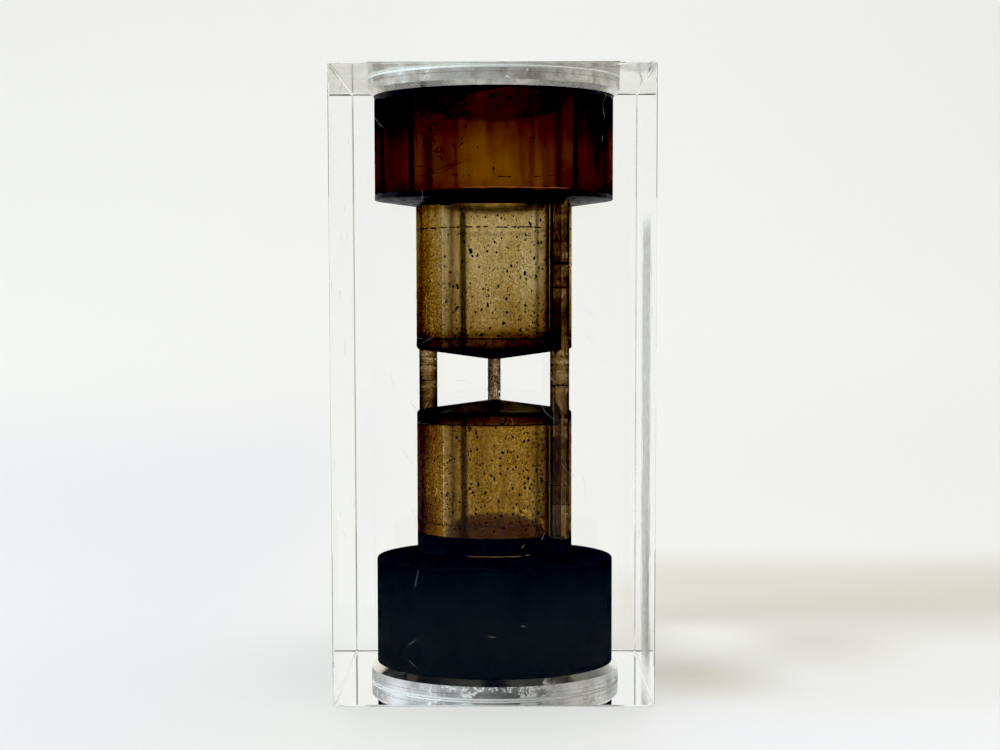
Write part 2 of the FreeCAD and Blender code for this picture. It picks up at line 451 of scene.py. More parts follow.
def upper_reservoir_film(net):
    z = net.z
    side = net.math("ABSOLUTE", net.x)
    direct, turned_back = 19.8 * MM, 20.2 * MM  # where the front wall begins to reflect totally
    at_front = net.ramp(net.y, -5 * MM, 5 * MM, 0.50, 0)
    # the terms that follow side set how dark the chamber looks towards its left and right edges, where
    # the front wall turns light back: painted shade and painted light in the film's thickness
    base = net.add(
        1.0,
        net.ramp(z, 131 * MM, 144 * MM, 0.0, 0.45),
        net.times(net.bell(net.x, -14.5 * MM, 6.5 * MM), at_front),
        net.times(net.bell(side, 19.0 * MM, 5.5 * MM), net.ramp(side, direct, turned_back, 0.50, 0.22)),
        net.ramp(side, 17.3 * MM, 19.6 * MM, 0.0, 0.65),
        net.ramp(side, direct, turned_back, 0.0, -0.80),
        net.ramp(z, 138 * MM, 144 * MM, 0.0, 0.18),
        net.times(net.bell(side, 24.5 * MM, 3 * MM), 0.24),
        net.times(net.bell(net.x, 14 * MM, 5 * MM), 0.42),
        net.ramp(side, 20 * MM, 26 * MM, 0.0, -0.12),
        net.times(net.bell(net.x, -22.5 * MM, 4 * MM), 0.34),
        net.ramp(z, 125.5 * MM, 122 * MM, 0.0, 0.25),
        net.times(net.ramp(z, 125 * MM, 123.5 * MM, 0, -0.6), net.ramp(net.y, 10 * MM, 20 * MM, 0, 1)),
    )
    return mottled(net, base, 0.1, 0.16)


def channel_film(net):
    z = net.z
    away = net.math("ABSOLUTE", net.math("SUBTRACT", z, MIDDLE))
    base = net.add(
        net.ramp(away, 5 * MM, 12 * MM, 1.0, 1.3), net.ramp(net.x, -5 * MM, 5 * MM, 0.3, 0.0)
    )
    rings = net.times(net.bell(z, 105.2 * MM, 0.3 * MM), 2.5)
    drilled = net.ramp(net.noise(900, 3, 0.7, (0.15, 0.15, 1)), 0.35, 0.7, -0.25, 0.35)
    faint = net.times(net.bell(z, 99.2 * MM, 0.2 * MM), 1.2)
    return net.add(mottled(net, base, 0.35, 0.35), net.times(base, drilled), rings, faint)


def plain_film(net):
    return mottled(net, 1.0, 0.6, 0.5)


def open_to_lamps(net, glass):
    """Glass whose bending of light doesn't keep lamps from what is inside it."""
    straight = net.node("ShaderNodeBsdfTransparent", {"Color": (0.93, 0.94, 0.92, 1)})
    shadow_ray = net.node("ShaderNodeLightPath").outputs["Is Shadow Ray"]
    return net.blend(glass, straight, shadow_ray)


def clear_acrylic():
    """Faces polished by hand, which leaves them very slightly wavy."""
    net = Net("clear_acrylic")
    glass = net.node("ShaderNodeBsdfGlass", {"Color": (1.0, 1.0, 0.996, 1), "IOR": IOR})
    glass.inputs["Roughness"].default_value = 0.0
    net.feed(glass.inputs["Normal"], net.bump(net.noise(70, 2), 0.04, 0.0001))
    return open_to_lamps(net, glass)


def end_face():
    """The sawn and sanded upper end, duller than the polished sides."""
    net = Net("sanded_end")
    saw = net.noise(260, 4, 0.65, (1, 0.12, 1))
    cloud = net.ramp(net.noise(45, 4), 0.3, 0.7, 0, 1)
    worn = net.mix(cloud, (0.84, 0.84, 0.80, 1), (0.72, 0.71, 0.66, 1))
    fresh = net.mix(cloud, (0.96, 0.96, 0.94, 1), (0.87, 0.87, 0.84, 1))
    colour = net.mix(net.ramp(net.x, -32 * MM, 32 * MM, 0, 1), worn, fresh)
    rough = net.ramp(saw, 0.3, 0.7, 0.04, 0.20)
    glass = net.node("ShaderNodeBsdfGlass", {"Color": colour, "IOR": IOR, "Roughness": rough})
    net.feed(glass.inputs["Normal"], net.bump(saw, 0.2, 0.00005))
    return open_to_lamps(net, glass)


def milled_side():
    """The right-hand face, whose polish misses one long upright band."""
    net = Net("milled_side")
    edge = net.ramp(net.noise(500, 4, 0.7, (1, 1, 0.12)), 0.3, 0.7, -5 * MM, 5 * MM)
    depth = net.add(net.y, edge)
    across = net.times(
        net.ramp(depth, -21 * MM, -15 * MM, 0, 1), net.ramp(depth, 9 * MM, 15 * MM, 1, 0)
    )
    along = net.times(
        net.ramp(net.z, 119 * MM, 112 * MM, 0, 1), net.ramp(net.z, 1 * MM, 8 * MM, 0.5, 1)
    )
    grain = net.ramp(net.noise(1100, 3, 0.6, (1, 1, 0.4)), 0.3, 0.7, 0.65, 1.0)
    band = net.times(across, along, grain)
    colour = net.mix(band, (1.0, 1.0, 0.996, 1), (0.80, 0.81, 0.79, 1))
    rough = net.times(band, 0.50)
    glass = net.node("ShaderNodeBsdfGlass", {"Color": colour, "IOR": IOR, "Roughness": rough})
    return open_to_lamps(net, glass)


def liquid_body():
    """The blue-black dye against the acrylic, which takes its gloss away."""
    net = Net("dark_liquid_body")
    tone = net.ramp(net.noise(50), 0.3, 0.7, 0.0, 1.0)
    colour = net.mix(tone, (0.0002, 0.0008, 0.002, 1), (0.0006, 0.0016, 0.0034, 1))
    shader = net.node("ShaderNodeBsdfPrincipled", {"Base Color": colour, "Roughness": 0.6})
    shader.inputs["Specular IOR Level"].default_value = 0.0
    return net.finish(shader)


def liquid_surface():
    """The free surface: a mirror at a low angle, which the dye turns red-brown."""
    net = Net("dark_liquid_surface")
    ripple = net.bump(net.noise(120, 2), 0.05, 0.00005)
    mirror = net.node("ShaderNodeBsdfGlossy", {"Color": (0.48, 0.16, 0.04, 1), "Roughness": 0.03})
    net.feed(mirror.inputs["Normal"], ripple)
    dye = net.node("ShaderNodeBsdfDiffuse", {"Color": (0.0006, 0.0014, 0.003, 1)})
    gloss = net.node("ShaderNodeFresnel", {"IOR": 1.33}).outputs[0]
    return net.blend(dye, mirror, gloss)


def residue():
    """Dried black deposit, matt with slightly glossy high spots."""
    net = Net("dried_residue")
    speckle = net.noise(700, 3)
    colour = net.mix(speckle, (0.0012, 0.0008, 0.0006, 1), (0.006, 0.003, 0.0016, 1))
    rough = net.ramp(speckle, 0.3, 0.7, 0.3, 0.6)
    shader = net.node(
        "ShaderNodeBsdfPrincipled", {"Base Color": colour, "Roughness": rough, "IOR": 1.15}
    )
    return net.finish(shader)


def disc_metal(name, bright, dark, inner, seat, inward, scribed, front_shade):
    """Turned aluminium with dull blotches and painted shade at its front middle; its chamber face is
    stained.
    """
    net = Net(name)
    radius = net.math("SQRT", net.add(net.times(net.x, net.x), net.times(net.y, net.y)))
    turning = net.node(
        "ShaderNodeTexWave",
        {
            "Vector": net.node("ShaderNodeCombineXYZ", {"X": radius, "Y": net.z}).outputs[0],
            "Scale": 1400.0,
            "Distortion": 3.0,
            "Detail": 3.0,
        },
        wave_type="BANDS",
    ).outputs["Fac"]
    blotch = net.ramp(net.noise(140, 6, 0.7), 0.42, 0.66, 0, 1)
    spots = net.ramp(net.noise(900, 4, 0.7), 0.58, 0.72, 0, 1)
    cover = net.math("MAXIMUM", blotch, net.times(spots, 0.6))
    colour = net.mix(cover, (*bright, 1), (*dark, 1))
    # painted shade: the rim's front middle darkened in blotches, more on the lower disc
    from_shade_middle = net.math("ABSOLUTE", net.math("SUBTRACT", net.x, 3 * MM))
    front_shade_mask = net.times(
        net.ramp(from_shade_middle, 5 * MM, 17 * MM, front_shade, 0),
        net.ramp(net.y, -12 * MM, -4 * MM, 1, 0),
        net.ramp(net.noise(70, 3), 0.3, 0.6, 0.6, 1.0),
    )
    colour = net.mix(front_shade_mask, colour, (0.06, 0.06, 0.055, 1))
    # the turned line is only a dark band of colour: painted shade of a groove
    scribe = net.bell(net.z, scribed, 0.10 * MM)
    colour = net.mix(net.times(scribe, 0.75), colour, (0.10, 0.10, 0.09, 1))
    height = net.times(net.math("SUBTRACT", net.z, seat), inward)
    chamber = net.times(
        net.ramp(height, -0.25 * MM, -0.05 * MM, 0, 1), net.ramp(radius, 30.2 * MM, 29.6 * MM, 0, 1)
    )
    colour = net.mix(chamber, colour, (*inner, 1))
    rough = net.add(net.ramp(cover, 0, 1, 0.30, 0.52), net.times(chamber, 0.1))
    shader = net.node(
        "ShaderNodeBsdfPrincipled", {"Base Color": colour, "Roughness": rough, "Metallic": 1.0}
    )
    fine = net.add(net.times(turning, 0.5), net.noise(2200, 3))
    net.feed(shader.inputs["Normal"], net.bump(fine, 0.25, 0.00004))
    return net.finish(shader)


def bevel_metal(name, stain, amount, polish):
    """The freshly cut bevel, brighter than the rim, with stain that crept over it and painted shade at
    its front middle.
    """
    net = Net(name)
    # painted shade at the bevel's front middle, as strong as amount; the noise gives the real stain
    off_centre = net.math("ABSOLUTE", net.add(net.x, 3 * MM))
    centre = net.times(
        net.ramp(off_centre, 12 * MM, 17 * MM, amount, 0), net.ramp(net.y, -5 * MM, 0, 1, 0)
    )
    stain_and_shade = net.ramp(net.add(net.noise(150, 4, 0.6), centre), 0.60, 0.72, 0, 1)
    colour = net.mix(stain_and_shade, (0.97, 0.95, 0.90, 1), (*stain, 1))
    rough = net.ramp(net.noise(500, 3), 0.3, 0.7, 0.08, 0.2 if polish == 1 else 0.4)
    shader = net.node(
        "ShaderNodeBsdfPrincipled", {"Base Color": colour, "Roughness": rough, "Metallic": polish}
    )
    net.feed(shader.inputs["Normal"], net.bump(net.noise(260, 2), 0.2, 0.00006))
    return net.finish(shader)


def cement():
    """Clear cement gone white where it has let go of the metal."""
    net = Net("clear_cement")
    speckle = net.ramp(net.noise(1500, 4, 0.7), 0.35, 0.65, 0, 1)
    colour = net.mix(speckle, (0.93, 0.93, 0.91, 1), (0.82, 0.82, 0.80, 1))
    rough = net.ramp(speckle, 0, 1, 0.35, 0.6)
    shader = net.node("ShaderNodeBsdfPrincipled", {"Base Color": colour, "Roughness": rough})
    return net.finish(shader)


# ---------------------------------------------------------------- the block


def cavity_half(sign, seat_extra):
    """Corners of one half of the cavity, from the neck out to its seat."""
    return [
        (NECK, MIDDLE + sign * NECK_HALF, 0),
        (BORE, MIDDLE + sign * BORE_RIM, BORE_ROUND),
        (BORE, MIDDLE + sign * BORE_MOUTH, 0),
        (RESERVOIR, MIDDLE + sign * RESERVOIR_RIM, RESERVOIR_ROUND),
        *seat_extra,
    ]


PAST = 2 * MM  # how far the cutter runs out of each end
lower_end = [
    (RESERVOIR, LOWER_SEAT - LOWER_BEVEL + DISC - RESERVOIR, 0),
    (DISC, LOWER_SEAT - LOWER_BEVEL, 0),
    (DISC, -PAST, 0),
    (0, -PAST, 0),
]
upper_end = [
    (RESERVOIR, UPPER_SEAT, 0),
    (DISC - UPPER_BEVEL, UPPER_SEAT, 0),
    (DISC, UPPER_SEAT + UPPER_BEVEL, 0),
    (DISC, HEIGHT + PAST, 0),
    (0, HEIGHT + PAST, 0),
]
cutter_line = supported(
    rounded([*reversed(cavity_half(-1, lower_end)), *cavity_half(1, upper_end)])
)

box = bmesh.new()
bmesh.ops.create_cube(box, size=1)
bmesh.ops.scale(box, vec=(2 * HALF, 2 * HALF, HEIGHT), verts=box.verts)
bmesh.ops.translate(box, vec=(0, 0, HEIGHT / 2), verts=box.verts)
bmesh.ops.bevel(box, geom=box.edges[:], offset=BLOCK_EDGE, segments=3, profile=0.5, affect="EDGES")
block = new_piece("acrylic_body", box)

cutters = [new_piece("cavity", turned(cutter_line))]
slope = (RESERVOIR_RIM - BORE_MOUTH) / (RESERVOIR - BORE)
for n, axis in enumerate(CHANNELS):
    end = BORE_MOUTH + slope * (axis.length + CHANNEL - BORE) + 0.3 * MM
    cutters.append(
        new_piece(f"channel_{n}", tube(axis, CHANNEL, MIDDLE - end, MIDDLE + end))
    )
combine(block, cutters, "DIFFERENCE")

SLOTS = {
    "clear": clear_acrylic(),
    "side": milled_side(),
    "end": end_face(),
    "upper_reservoir": film("film_upper_reservoir", (0.415, 0.252, 0.070), upper_reservoir_film, 0.16),
    "lower_reservoir": film("film_lower_reservoir", (0.20, 0.12, 0.06), plain_film),
    "upper_bore": film("film_upper_bore", (0.640, 0.535, 0.325), upper_bore_film, 0.16),
    "lower_bore": film("film_lower_bore", (0.500, 0.360, 0.115), lower_bore_film, 0.16),
    "cone": film("film_cone", (0.60, 0.55, 0.43), cone_film, 0.05),
    "channel": film("film_channel", (0.43, 0.335, 0.20), channel_film, 0.08),
    "neck": film("film_neck", (0.38, 0.28, 0.19), plain_film, 0.08),
}
SLOT_NUMBER = {key: number for number, key in enumerate(SLOTS)}
for material in SLOTS.values():
    block.data.materials.append(material)


def region(face):
    """Which surface of the block a face belongs to, as a key of SLOTS."""
    c = face.center
    r = math.hypot(c.x, c.y)
    away = abs(c.z - MIDDLE)
    near = min((Vector((c.x, c.y)) - axis).length for axis in CHANNELS)
    if r > DISC + BOND or c.z > HEIGHT - BOND or c.z < BOND:
        if face.normal.z > 0.9:
            return "end"
        return "side" if face.normal.x > 0.9 else "clear"
    if r > RESERVOIR + BOND:
        return "clear"
    if near < CHANNEL + BOND and abs(face.normal.z) < 0.2 and r > BORE + BOND:
        return "channel"
    if away < NECK_HALF:
        return "neck"
    half = "upper" if c.z > MIDDLE else "lower"
    if away > BORE_MOUTH:
        return f"{half}_reservoir"
    return "cone" if away < BORE_RIM - BORE_ROUND / 3 else f"{half}_bore"


for face in block.data.polygons:
    face.material_index = SLOT_NUMBER[region(face)]
    face.use_smooth = face.area < HALF * HALF
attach(block, "root")
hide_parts("acrylic_block")

# ---------------------------------------------------------------- the liquid

meniscus = 0.16 * MM
bevel_foot = DISC - LOWER_BEVEL
foot = [
    (0, LOWER_SEAT - 2 * BOND),
    (bevel_foot + BOND, LOWER_SEAT - 2 * BOND),
    (RESERVOIR + BOND, LOWER_SEAT - LOWER_BEVEL + DISC - RESERVOIR - 3 * BOND),
]
roof = rounded(
    [
        (RESERVOIR + BOND, MIDDLE - RESERVOIR_RIM - 3 * RESERVOIR_ROUND, 0),
        (RESERVOIR + BOND, MIDDLE - RESERVOIR_RIM + BOND, RESERVOIR_ROUND),
        (BORE + BOND, MIDDLE - BORE_MOUTH + BOND, 0),
    ]
)
surface = [
    (BORE + BOND, LIQUID_LEVEL + meniscus),
    (BORE - 0.25 * MM, LIQUID_LEVEL + 0.30 * meniscus),
    (BORE - 0.7 * MM, LIQUID_LEVEL + 0.08 * meniscus),
    (BORE - 1.6 * MM, LIQUID_LEVEL),
    (0, LIQUID_LEVEL),
]
liquid_points = [*map(Vector, foot), *roof[1:], *map(Vector, surface)]
liquid = new_piece("liquid_charge", turned(liquid_points))
stubs = [
    new_piece(
        f"stub_{n}",
        tube(axis, CHANNEL + BOND, MIDDLE - RESERVOIR_RIM - 2 * MM, LIQUID_LEVEL),
    )
    for n, axis in enumerate(CHANNELS)
]
combine(liquid, stubs, "UNION")
liquid.data.materials.append(liquid_body())
liquid.data.materials.append(liquid_surface())
for face in liquid.data.polygons:
    top = face.center.z > LIQUID_LEVEL - BOND / 4 and face.normal.z > 0.3
    face.material_index = 1 if top else 0
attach(liquid, "root")
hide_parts("dark_liquid")

# ---------------------------------------------------------------- the discs

RIM_EASE = 0.15 * MM


def disc_line(outer, seat, bevel, sign):
    """From the axis of the outer face round the rim to the axis of the inner face."""
    foot = seat + sign * bevel
    return [
        Vector(p)
        for p in (
            (0, outer),
            (DISC - RIM_EASE, outer),
            (DISC + BOND, outer - sign * RIM_EASE),
            (DISC + BOND, foot - sign * BOND / 2),
            (DISC - bevel - BOND / 2, seat - sign * BOND),
            (0, seat - sign * BOND),
        )
    ]


SCRIBED = 1.3 * MM  # a line turned into each rim, this far from the outer face
upper_disc = new_piece(
    "upper_disc_turned", turned(supported(disc_line(upper_high.z, UPPER_SEAT, UPPER_BEVEL, 1)))
)
upper_disc.data.materials.append(
    disc_metal(
        "satin_metal_upper",
        bright=(0.82, 0.82, 0.79),
        dark=(0.46, 0.43, 0.37),
        inner=(0.30, 0.16, 0.07),
        seat=UPPER_SEAT,
        inward=-1,
        scribed=upper_high.z - SCRIBED,
        front_shade=0.25,
    )
)
lower_disc = new_piece(
    "lower_disc_turned", turned(supported(disc_line(lower_low.z, LOWER_SEAT, LOWER_BEVEL, -1)))
)
lower_disc.data.materials.append(
    disc_metal(
        "satin_metal_lower",
        bright=(0.90, 0.91, 0.93),
        dark=(0.62, 0.62, 0.61),
        inner=(0.10, 0.08, 0.06),
        seat=LOWER_SEAT,
        inward=1,
        scribed=lower_low.z + SCRIBED,
        front_shade=0.8,
    )
)
upper_disc.data.materials.append(bevel_metal("cut_bevel_upper", (0.35, 0.30, 0.24), 0.0, 0.45))
lower_disc.data.materials.append(bevel_metal("cut_bevel_lower", (0.06, 0.058, 0.054), 0.6, 1))
for piece, node in ((upper_disc, "upper_end_disc"), (lower_disc, "lower_end_disc")):
    for face in piece.data.polygons:
        sloping = 0.4 < abs(face.normal.z) < 0.9
        face.material_index = 1 if sloping and face.center.xy.length < DISC else 0
    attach(piece, "root")
    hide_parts(node)

# ---------------------------------------------------------------- the cement

white_cement = cement()


def cement_piece(name, node, outer, foot, sign, flakes):
    """The bead at the open end, and the flakes where the bond has failed."""
    bm = bmesh.new()
    bead = [
        (DISC - 0.02 * MM, outer - sign * 0.35 * MM),
        (DISC - 0.02 * MM, outer + sign * 0.04 * MM),
        (DISC + 0.05 * MM, outer + sign * 0.06 * MM),
        (COUNTERBORE + BOND, outer + sign * 0.02 * MM),
        (COUNTERBORE + BOND, outer - sign * 0.35 * MM),
    ]
    rings = [ring_of(bm, r, z) for r, z in bead]
    join_rings(bm, [*rings, rings[0]])
    heights = sorted((outer - sign * 0.5 * MM, foot))
    crust(bm, wall(DISC + 0.05 * MM), AROUND, heights, 0.16 * MM, flakes, 0.02 * MM)
    bmesh.ops.recalc_face_normals(bm, faces=bm.faces)
    piece = new_piece(name, bm)
    piece.data.materials.append(white_cement)
    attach(piece, "root")
    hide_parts(node)
    return piece


def lower_flakes(p):
    """Thick at the front, with a bare place in the middle just above the base."""
    front = min(1.0, max(0.0, 1.5 - abs(p.x - 1 * MM) / (13 * MM))) if p.y < 0 else 0.0
    bare = max(0.0, 1 - abs(p.x - 1 * MM) / (6 * MM)) if p.z < 2.1 * MM else 0.0
    patch = noise.noise(p * 260 + Vector((2, 9, 4)))
    grit = noise.fractal(p * 900, 0.4, 2.1, 4)
    return grit + 0.7 * patch > 0.80 - 0.62 * front + 1.2 * bare * front


def upper_flakes(p):
    """A few, the same all round."""
    return noise.fractal(p * 300 + Vector((3, 1, 7)), 0.7, 2.1, 5) > 0.62


upper_foot, lower_foot = UPPER_SEAT + UPPER_BEVEL, LOWER_SEAT - LOWER_BEVEL
upper_bead = cement_piece(
    "upper_cement_bead", "upper_cement_ring", upper_high.z, upper_foot, 1, upper_flakes
)
lower_bead = cement_piece(
    "lower_cement_bead", "lower_cement_ring", lower_low.z, lower_foot, -1, lower_flakes
)

# ---------------------------------------------------------------- dried residue

black = residue()


def residue_piece(name, bm):
    bmesh.ops.recalc_face_normals(bm, faces=bm.faces)
    piece = new_piece(name, bm, 60)
    piece.data.materials.append(black)
    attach(piece, "root")
    return piece


UPPER_MOUTH, LOWER_MOUTH = MIDDLE + BORE_MOUTH, MIDDLE - BORE_MOUTH
UPPER_FLOOR = MIDDLE + RESERVOIR_RIM


def ragged(p, scale):
    """Uneven height of a deposit's edge, the same at every height of one place on a wall."""
    return noise.fractal(Vector((p.x, p.y, 0)) * scale, 0.8, 2.1, 4)


def on_reservoir_wall(p):
    return p.z < UPPER_FLOOR + (1.3 + 0.45 * ragged(p, 150)) * MM


def on_bore_wall(p):
    swing = 1.1 if p.y < 0 else 0.2
    return p.z > UPPER_MOUTH - max(0.15, 0.2 + swing * ragged(p, 190)) * MM


sludge = bmesh.new()
for radius, low, high, cell, keep, depth in (
    (RESERVOIR, UPPER_FLOOR + 0.1 * MM, UPPER_FLOOR + 3.6 * MM, 0.14, on_reservoir_wall, 0.12),
    (BORE, UPPER_MOUTH - 2.6 * MM, UPPER_MOUTH, 0.12, on_bore_wall, 0.10),
):
    crust(sludge, wall(radius), AROUND, (low, high), cell * MM, keep, depth * MM)
residue_piece("floor_sludge_rim", sludge)

# the sludge lying on the floor itself, wetted to it
floor_line = [
    Vector(p)
    for p in (
        (BORE - 0.05 * MM, UPPER_MOUTH - 0.02 * MM),
        (RESERVOIR - 0.3 * MM, UPPER_FLOOR - 0.06 * MM),
        (RESERVOIR + BOND, UPPER_FLOOR + 0.2 * MM),
        (RESERVOIR + BOND, UPPER_FLOOR + 0.7 * MM),
        (RESERVOIR - 0.4 * MM, UPPER_FLOOR + 0.5 * MM),
        (BORE + 0.6 * MM, UPPER_MOUTH + 0.45 * MM),
        (BORE - 0.05 * MM, UPPER_MOUTH + 0.2 * MM),
    )
]
REACH = RESERVOIR - BORE
UNEVEN_FROM = 4  # the first point of the line that is on the sludge's free top
bm = bmesh.new()
rings = []
for n, (r, z) in enumerate(floor_line):
    ring = []
    for k in range(SEGMENTS):
        a = TURN * k / SEGMENTS
        x, y = math.cos(a), math.sin(a)
        lift = 0.12 * noise.noise(Vector((x, y, r * 300)) * 9) if n >= UNEVEN_FROM else 0
        drawn_back = max(0.0, min(1.0, 2 * y - 0.4)) * (4.2 + 1.5 * noise.noise(Vector((x, y, 4)) * 7))
        pull = drawn_back * MM * max(0.0, (RESERVOIR - 0.5 * MM - r) / REACH)
        ring.append(bm.verts.new(((r + pull) * x, (r + pull) * y, z + lift * MM + slope * pull)))
    rings.append(ring)
join_rings(bm, [*rings, rings[0]])
residue_piece("floor_sludge", bm)

# a dark ragged band under the upper disc, made with the residue material
ceiling = bmesh.new()


def under_disc(p):
    """A ragged dark edge against the disc, thicker at the front, with loose spots below it."""
    edge = 1.3 + 1.3 * ragged(p, 60) if p.y < 0 else 0
    loose = noise.fractal(p * 420, 0.7, 2.1, 4) > 0.42 + 0.1 * (UPPER_SEAT - p.z) / MM
    return p.z > UPPER_SEAT - max(0.5, edge) * MM or (loose and p.z > UPPER_SEAT - 5 * MM)


heights = (UPPER_SEAT - 5 * MM, UPPER_SEAT - 0.05 * MM)
crust(ceiling, wall(RESERVOIR), AROUND, heights, 0.15 * MM, under_disc, 0.10 * MM)
residue_piece("dark_band_under_disc", ceiling)


# crackled residue on the upper reservoir's wall
def streak(bm, at, path, near, far):
    """Adds a closed ribbon on a surface along (angle or x, height, half width)."""
    stations = []
    for n, (u, z, half_width) in enumerate(path):
        place, inward = at(u, z)
        a = at(*path[max(n - 1, 0)][:2])[0]
        b = at(*path[min(n + 1, len(path) - 1)][:2])[0]
        side = (b - a).cross(inward).normalized() * half_width
        stations.append(
            [
                bm.verts.new(place + side + inward * near),
                bm.verts.new(place - side + inward * near),
                bm.verts.new(place - side * 0.6 + inward * far),
                bm.verts.new(place + side * 0.6 + inward * far),
            ]
        )
    for a, b in zip(stations, stations[1:]):
        for k in range(4):
            bm.faces.new((a[k], a[(k + 1) % 4], b[(k + 1) % 4], b[k]))
    bm.faces.new(stations[0])
    bm.faces.new(reversed(stations[-1]))


def wander(pick, start, heading, steps, pace, swing, half_width, radius):
    """A crooked line on a wall that tapers at both ends."""
    (angle, z), path = start, []
    for n in range(steps):
        taper = math.sin(math.pi * (n + 0.6) / (steps + 0.2))
        path.append((angle, z, half_width * (0.25 + 0.75 * taper) * pick.uniform(0.6, 1.3)))
        heading += pick.uniform(-swing, swing)
        angle += pace * math.cos(heading) / radius
        z += pace * math.sin(heading)
    return path


pick = random.Random(11)
cracks = bmesh.new()
inner_wall = wall(RESERVOIR)
for count, mid_angle, spread, mid_z, rise, swing, steps, thick in (
    (46, -0.50, 0.17, 138.5 * MM, 4.8 * MM, 0.9, 9, 0.10),
    (16, -0.30, 0.07, 142.0 * MM, 2.6 * MM, 0.8, 12, 0.17),
    (9, 0.86, 0.06, 142.5 * MM, 2.4 * MM, 0.9, 8, 0.13),
    (10, -0.40, 0.16, 131.0 * MM, 2.4 * MM, 0.7, 7, 0.08),
):
    for _ in range(count):
        start = (pick.gauss(mid_angle, spread * 0.6), min(pick.gauss(mid_z, rise * 0.6), 146 * MM))
        heading = pick.choice((0, math.pi / 2)) + pick.uniform(-0.7, 0.7)
        line = wander(pick, start, heading, steps, 0.32 * MM, swing, thick * MM, RESERVOIR)
        streak(cracks, inner_wall, line, -BOND, 0.05 * MM)
for angle, z, steps in (
    (-0.66, 125.6, 44),
    (-0.58, 126.5, 30),
    (-0.45, 127.3, 26),
    (-0.72, 127.9, 14),
    (0.42, 125.4, 22),
):
    line = wander(pick, (angle, z * MM), 0.10, steps, 0.35 * MM, 0.10, 0.055 * MM, RESERVOIR)
    streak(cracks, inner_wall, line, -BOND, 0.04 * MM)
residue_piece("wall_crackle", cracks)

# tide marks on the bores, and rings on the channels
marks = bmesh.new()


def tide(level, spread, density, scale):
    """A wavy, broken line round a wall; the lower the density value, the fewer its gaps."""
    def keep(p):
        wave = level + 0.5 * MM * noise.noise(Vector((p.x, p.y, 0)) * 60)
        return abs(p.z - wave) < spread and noise.noise(p * scale) > density

    return keep


for radius, low, high, keep in (
    (BORE, 112.4 * MM, 115 * MM, tide(113.7 * MM, 0.16 * MM, -0.02, 900)),
    (BORE, 86.2 * MM, 87.2 * MM, tide(86.7 * MM, 0.15 * MM, -0.35, 500)),
    (BORE, 64.8 * MM, 66.4 * MM, tide(65.6 * MM, 0.11 * MM, -0.35, 500)),
    (RESERVOIR, 124 * MM, 126.5 * MM, tide(125.3 * MM, 0.10 * MM, 0.18, 500)),
):
    crust(marks, wall(radius), AROUND, (low, high), 0.11 * MM, keep, 0.05 * MM)
ring_pick = random.Random(5)
channel_rings = ((104.8, 0.16), (99.1, 0.07), (93.0, 0.05), (75.3, 0.10), (50.8, 0.08), (46.2, 0.05))
for axis in CHANNELS:
    for z, half_width in channel_rings:
        steps = 24
        path = []
        for n in range(steps + 1):
            level = (z + ring_pick.uniform(-0.05, 0.05)) * MM
            thick = half_width * MM * ring_pick.uniform(0.6, 1.3)
            path.append((TURN * (n / steps - 0.5), level, thick))
        streak(marks, wall(CHANNEL, axis), path[:-1], -2 * BOND, 0.03 * MM)
residue_piece("tide_marks", marks)

# thin amber lines, two of them a painted glint where the liquid meets the lower bore's mouth, and the
# nicks in the faces


def matt(name, grain, light, dark, roughness):
    net = Net(name)
    tone = net.ramp(grain(net), 0.35, 0.65, 0, 1)
    colour = net.mix(tone, (*light, 1), (*dark, 1))
    shader = net.node("ShaderNodeBsdfPrincipled", {"Base Color": colour, "Roughness": roughness})
    return net.finish(shader)


amber_glint_and_line = matt(
    "amber_glint_and_line", lambda net: net.noise(600, 3), (0.62, 0.20, 0.06), (0.30, 0.08, 0.02), 0.5
)
scratch_white = matt(
    "scratch_white", lambda net: net.noise(900, 2), (0.72, 0.72, 0.70), (0.50, 0.50, 0.48), 0.7
)


def fine_piece(name, bm, material):
    bmesh.ops.recalc_face_normals(bm, faces=bm.faces)
    piece = new_piece(name, bm)
    piece.data.materials.append(material)
    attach(piece, "root")


amber = bmesh.new()
for radius, z, start, end, half_width in (
    # the first two: a painted glint where the liquid meets the lower bore's mouth
    (BORE, LOWER_MOUTH + 0.7 * MM, -0.34, 0.36, 0.08 * MM),
    (BORE, LOWER_MOUTH + 0.9 * MM, 0.40, 0.46, 0.05 * MM),
    # an amber line on the upper reservoir's wall
    (RESERVOIR, UPPER_FLOOR + 1.75 * MM, -0.24, 0.66, 0.07 * MM),
):
    steps = 40
    path = []
    for n in range(steps + 1):
        taper = min(1.0, 6 * math.sin(math.pi * (n + 0.3) / (steps + 0.6)))
        path.append((start + (end - start) * n / steps, z, half_width * taper))
    streak(amber, wall(radius), path, -3 * BOND, 0.02 * MM)
fine_piece("amber_lines", amber, amber_glint_and_line)


EDGE_MARGIN = 2 * BLOCK_EDGE


def flat(normal):
    """Places on an upright outer face of the block, by distance to the right and height."""
    across = Vector((-normal.y, normal.x, 0))

    def at(u, z):
        u = max(EDGE_MARGIN - HALF, min(HALF - EDGE_MARGIN, u))
        z = max(EDGE_MARGIN, min(HEIGHT - EDGE_MARGIN, z))
        return normal * HALF + across * u + Vector((0, 0, z)), -normal

    return at


